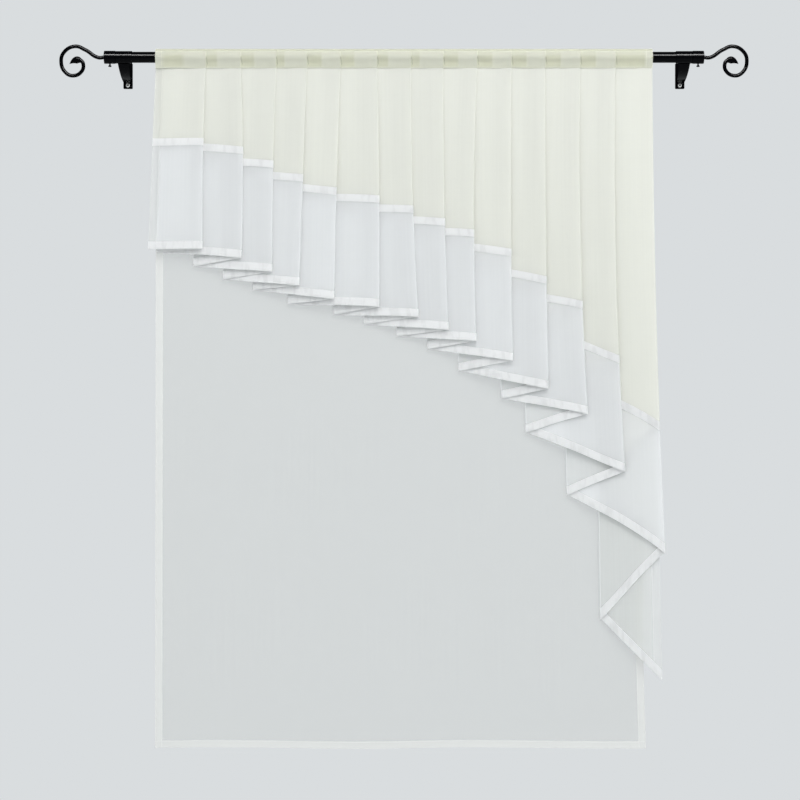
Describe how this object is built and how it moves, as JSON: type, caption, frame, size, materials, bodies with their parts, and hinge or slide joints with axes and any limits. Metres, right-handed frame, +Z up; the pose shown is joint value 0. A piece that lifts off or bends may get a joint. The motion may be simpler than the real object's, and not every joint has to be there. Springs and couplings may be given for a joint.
{
  "type": "ruffled curtain with curtain rod",
  "caption": "Sheer rod-pocket curtain panel with a pleated slanting ruffle in front, hung on a black rod with scroll finials and wall brackets.",
  "frame": {"origin": "on the wall plane, midway between the two brackets, level with the rod's axis", "axes": "+Z up, +X along the rod to the right as seen from the room, +Y into the wall, so the room is on the -Y side"},
  "size_m": [1.3872, 0.1112, 1.418],
  "materials": {
    "cream_voile": "fine plain-woven cream voile",
    "white_voile": "fine plain-woven white voile",
    "white_satin": "white satin ribbon with a soft sheen",
    "sheer_voile": "sheer white voile, half see-through",
    "black_metal": "gloss black enamel on steel",
    "steel": "bright zinc-plated screw heads"
  },
  "bodies": {
    "root": {"heading": "cream_voile", "valance_top": "cream_voile", "seam_ribbon": "white_satin", "flounce": "white_voile", "hem_binding": "white_satin", "sheer_panel": "sheer_voile", "rod": "black_metal", "collar_left": "black_metal", "collar_right": "black_metal", "thumb_screw_left": "black_metal", "thumb_screw_right": "black_metal", "finial_left": "black_metal", "finial_right": "black_metal", "bracket_left": "black_metal", "bracket_right": "black_metal", "wall_screw_left": "steel", "wall_screw_right": "steel"}
  },
  "joints": []
}
